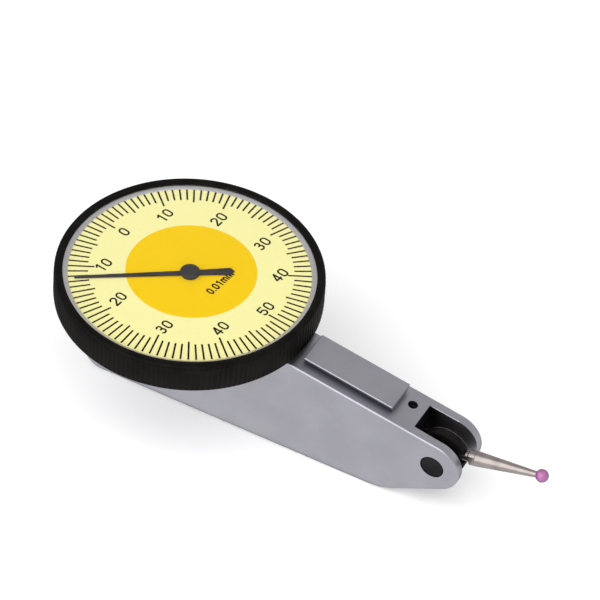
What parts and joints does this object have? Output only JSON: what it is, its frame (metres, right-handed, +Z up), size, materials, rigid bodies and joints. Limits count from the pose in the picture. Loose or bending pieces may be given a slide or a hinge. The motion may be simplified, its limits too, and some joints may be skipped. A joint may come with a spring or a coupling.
{
  "type": "dial test indicator",
  "caption": "Lever-type dial test indicator: wedge body with dovetail rail, turning bezel with domed crystal and scale on top, ball-ended stylus set in a forked nose.",
  "frame": {"origin": "on the flat underside of the body, under the axis of the dial", "axes": "+Z up out of the dial, +X along the body towards the nose and the stylus, +Y to the far side"},
  "size_m": [0.0799, 0.04, 0.024],
  "materials": {
    "satin_body": "satin chrome plate",
    "black_steel": "black oxide, satin",
    "screw_steel": "plain turned steel",
    "movement_brass": "satin brass",
    "ruby": "polished synthetic ruby",
    "blued_steel": "blued spring steel",
    "nickel": "bright turned nickel plate",
    "hand_paint": "dark grey, satin",
    "black_bezel": "black anodised, satin",
    "crystal": "clear, polished",
    "bright_ring": "polished",
    "dial_print": "yellow enamel with black print"
  },
  "bodies": {
    "body": {"body_frame": "satin_body", "dial_case": "satin_body", "stop_screw": "black_steel", "case_screw_1": "screw_steel", "case_screw_2": "screw_steel", "case_screw_3": "screw_steel", "case_screw_4": "screw_steel", "movement_plate_near": "movement_brass", "movement_plate_far": "movement_brass", "pillar_rear": "movement_brass", "pillar_front": "movement_brass", "centre_cock": "movement_brass", "lower_cock": "movement_brass", "upper_jewel": "ruby", "lower_jewel": "ruby", "crown_jewel_near": "ruby", "crown_jewel_far": "ruby", "sector_jewel_near": "ruby", "sector_jewel_far": "ruby", "hairspring": "blued_steel", "hairspring_stud": "movement_brass", "bezel_spring": "screw_steel", "movement_screw_1": "screw_steel", "movement_screw_2": "screw_steel", "movement_screw_3": "screw_steel", "movement_screw_4": "screw_steel", "nose_bearing_near": "screw_steel", "nose_bearing_far": "screw_steel", "pivot_plug_near": "black_steel", "pivot_plug_far": "black_steel"},
    "lever": {"lever_axle": "screw_steel", "lever_arm": "nickel", "drive_pin": "screw_steel", "clutch_washer": "black_steel"},
    "stylus": {"stylus_hub": "black_steel", "stylus": "nickel", "ruby_ball": "ruby"},
    "sector": {"sector_gear": "movement_brass", "sector_arbor": "screw_steel"},
    "crown": {"crown_arbor": "screw_steel", "crown_wheel": "movement_brass"},
    "hand": {"centre_arbor": "screw_steel", "hairspring_collet": "movement_brass", "pointer_hand": "hand_paint", "hand_hub": "hand_paint"},
    "bezel": {"bezel": "black_bezel", "crystal": "crystal", "reflector_ring": "bright_ring", "dial_plate": "dial_print", "dial_retainer": "screw_steel"}
  },
  "joints": [
    {"name": "lever_swing", "type": "hinge", "parent": "body", "child": "lever", "pos_m": [0.0432, 0, 0.00894], "axis": [0, -1, 0], "range_deg": [0, 4.06], "stiffness_Nm_per_rad": 0.02, "springref_deg": -8.59},
    {"name": "stylus_set", "type": "hinge", "parent": "lever", "child": "stylus", "pos_m": [0.0432, 0, 0.00894], "axis": [0, -1, 0], "range_deg": [-115, 95]},
    {"name": "sector_turn", "type": "hinge", "parent": "body", "child": "sector", "pos_m": [0.0108, 0, 0.00894], "axis": [0, -1, 0], "range_deg": [-10.3, 0]},
    {"name": "crown_turn", "type": "hinge", "parent": "body", "child": "crown", "pos_m": [0, 0, 0.00894], "axis": [0, -1, 0], "range_deg": [0, 81.9]},
    {"name": "hand_turn", "type": "hinge", "parent": "body", "child": "hand", "pos_m": [0, 0, 0.0227], "axis": [0, 0, -1], "range_deg": [0, 409.4]},
    {"name": "bezel_turn", "type": "hinge", "parent": "body", "child": "bezel", "pos_m": [0, 0, 0.021], "axis": [0, 0, 1], "continuous": true}
  ],
  "couplings": [
    {"joint": "sector_turn", "follows": "lever_swing", "ratio": -2.5133},
    {"joint": "crown_turn", "follows": "lever_swing", "ratio": 20.106},
    {"joint": "hand_turn", "follows": "lever_swing", "ratio": 100.53}
  ]
}
